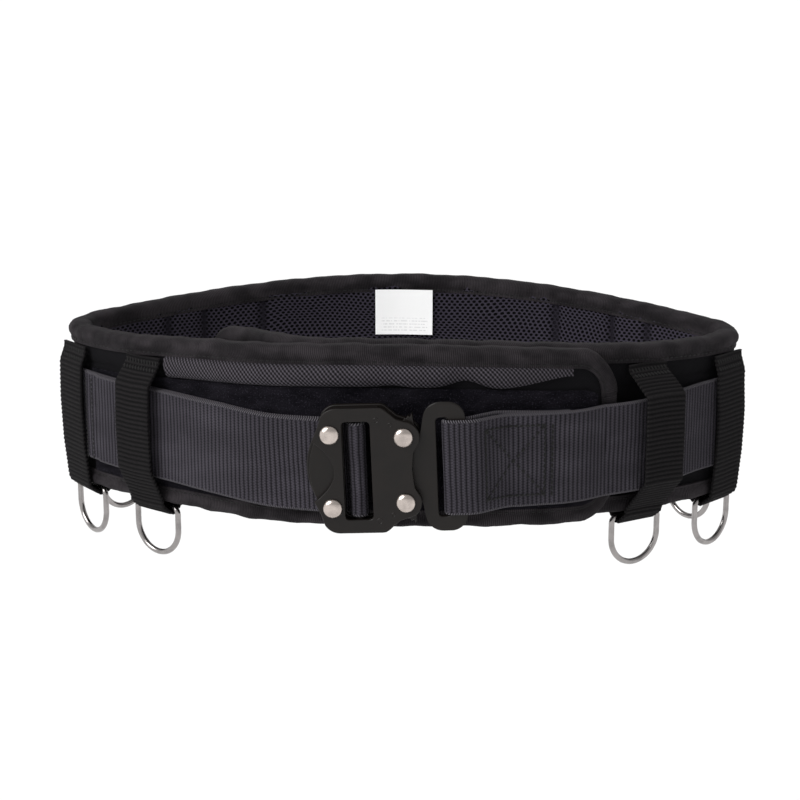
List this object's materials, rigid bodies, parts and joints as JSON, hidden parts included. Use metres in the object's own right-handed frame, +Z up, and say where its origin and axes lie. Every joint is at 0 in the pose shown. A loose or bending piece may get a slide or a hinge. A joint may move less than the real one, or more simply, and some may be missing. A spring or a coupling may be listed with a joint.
{
  "type": "tool belt",
  "caption": "Padded tool belt closed round an empty waist, with webbing in keeper loops, hanging D-rings and a metal side-release buckle.",
  "frame": {"origin": "centre of the waist opening, at the middle of the webbing's width", "axes": "+X along the belt's long side, towards the buckle tongue's way out; -Y to the front, where the buckle is; +Z up"},
  "size_m": [0.388, 0.2454, 0.1351],
  "materials": {
    "air_mesh": "open spacer mesh, dark navy",
    "foam": "closed-cell foam",
    "cover_fabric": "smooth woven polyester",
    "edge_tape": "ribbed grosgrain tape",
    "roll_fabric": "woven herringbone over padding",
    "fuzzy_loop": "brushed loop fastener",
    "hook_tape": "hook fastener",
    "label": "smooth satin tape",
    "webbing": "charcoal webbing, ribbed along its length",
    "keeper_webbing": "heavy cross-ribbed webbing",
    "black_metal": "satin black powder coat",
    "nickel": "polished nickel plate",
    "ring_steel": "polished wire",
    "spring_steel": "bright spring steel"
  },
  "bodies": {
    "belt": {"pad_mesh_lining": "air_mesh", "pad_foam_core": "foam", "pad_outer_cover": "cover_fabric", "edge_binding_top": "edge_tape", "edge_binding_bottom": "edge_tape", "edge_binding_outer_end": "edge_tape", "edge_binding_inner_end": "edge_tape", "front_padded_roll": "roll_fabric", "loop_fastener_panel": "fuzzy_loop", "overlap_hook_patch": "hook_tape", "overlap_pile_patch": "fuzzy_loop", "care_label": "label", "belt_webbing": "webbing", "keeper_loop_front_right": "keeper_webbing", "keeper_loop_front_left": "keeper_webbing", "keeper_loop_side_right": "keeper_webbing", "keeper_loop_side_left": "keeper_webbing", "keeper_loop_rear_right": "keeper_webbing", "keeper_loop_rear_left": "keeper_webbing", "keeper_loop_back_right": "keeper_webbing", "keeper_loop_back_left": "keeper_webbing", "buckle_back_plate": "black_metal", "buckle_front_plate": "black_metal", "buckle_spacer": "black_metal", "adjuster_bar": "black_metal", "rivet_rear_upper": "nickel", "rivet_rear_lower": "nickel", "rivet_pivot_upper": "nickel", "rivet_pivot_lower": "nickel", "lever_spring_upper": "spring_steel", "lever_spring_lower": "spring_steel"},
    "ring_front_right": {"d_ring_front_right": "ring_steel"},
    "ring_front_left": {"d_ring_front_left": "ring_steel"},
    "ring_side_right": {"d_ring_side_right": "ring_steel"},
    "ring_side_left": {"d_ring_side_left": "ring_steel"},
    "ring_rear_right": {"d_ring_rear_right": "ring_steel"},
    "ring_rear_left": {"d_ring_rear_left": "ring_steel"},
    "ring_back_right": {"d_ring_back_right": "ring_steel"},
    "ring_back_left": {"d_ring_back_left": "ring_steel"},
    "tongue": {"buckle_tongue": "black_metal", "buckle_strap": "webbing"},
    "lever_upper": {"release_lever_upper": "black_metal"},
    "lever_lower": {"release_lever_lower": "black_metal"}
  },
  "joints": [
    {"name": "ring_swing_front_right", "type": "hinge", "parent": "belt", "child": "ring_front_right", "pos_m": [-0.131, -0.05869, -0.04437], "axis": [-0.8231, 0.5679, 0], "range_deg": [-45, 80]},
    {"name": "ring_swing_front_left", "type": "hinge", "parent": "belt", "child": "ring_front_left", "pos_m": [0.131, -0.05869, -0.04437], "axis": [-0.8231, -0.5679, 0], "range_deg": [-45, 80]},
    {"name": "ring_swing_side_right", "type": "hinge", "parent": "belt", "child": "ring_side_right", "pos_m": [-0.176, -0.01794, -0.04598], "axis": [-0.6406, 0.7679, 0], "range_deg": [-45, 80]},
    {"name": "ring_swing_side_left", "type": "hinge", "parent": "belt", "child": "ring_side_left", "pos_m": [0.176, -0.01794, -0.04598], "axis": [-0.6406, -0.7679, 0], "range_deg": [-45, 80]},
    {"name": "ring_swing_rear_right", "type": "hinge", "parent": "belt", "child": "ring_rear_right", "pos_m": [-0.167, 0.02795, -0.04584], "axis": [0.6898, 0.724, 0], "range_deg": [-45, 80]},
    {"name": "ring_swing_rear_left", "type": "hinge", "parent": "belt", "child": "ring_rear_left", "pos_m": [0.167, 0.02795, -0.04584], "axis": [0.6898, -0.724, 0], "range_deg": [-45, 80]},
    {"name": "ring_swing_back_right", "type": "hinge", "parent": "belt", "child": "ring_back_right", "pos_m": [-0.075, 0.08697, -0.04114], "axis": [0.9457, 0.3251, 0], "range_deg": [-45, 80]},
    {"name": "ring_swing_back_left", "type": "hinge", "parent": "belt", "child": "ring_back_left", "pos_m": [0.075, 0.08697, -0.04114], "axis": [0.9457, -0.3251, 0], "range_deg": [-45, 80]},
    {"name": "tongue_slide", "type": "slide", "parent": "belt", "child": "tongue", "axis": [0.9992, 0, 0.0401], "range_m": [0, 0.026], "deforming": ["buckle_strap"]},
    {"name": "release_lever_upper_turn", "type": "hinge", "parent": "belt", "child": "lever_upper", "pos_m": [0.0094, -0.129, 0.01759], "axis": [0, 1, 0], "range_deg": [0, 14], "stiffness_Nm_per_rad": 0.02, "springref_deg": -8.59, "deforming": ["lever_spring_upper"]},
    {"name": "release_lever_lower_turn", "type": "hinge", "parent": "belt", "child": "lever_lower", "pos_m": [0.01078, -0.129, -0.01678], "axis": [0, -1, 0], "range_deg": [0, 14], "stiffness_Nm_per_rad": 0.02, "springref_deg": -8.59, "deforming": ["lever_spring_lower"]}
  ]
}
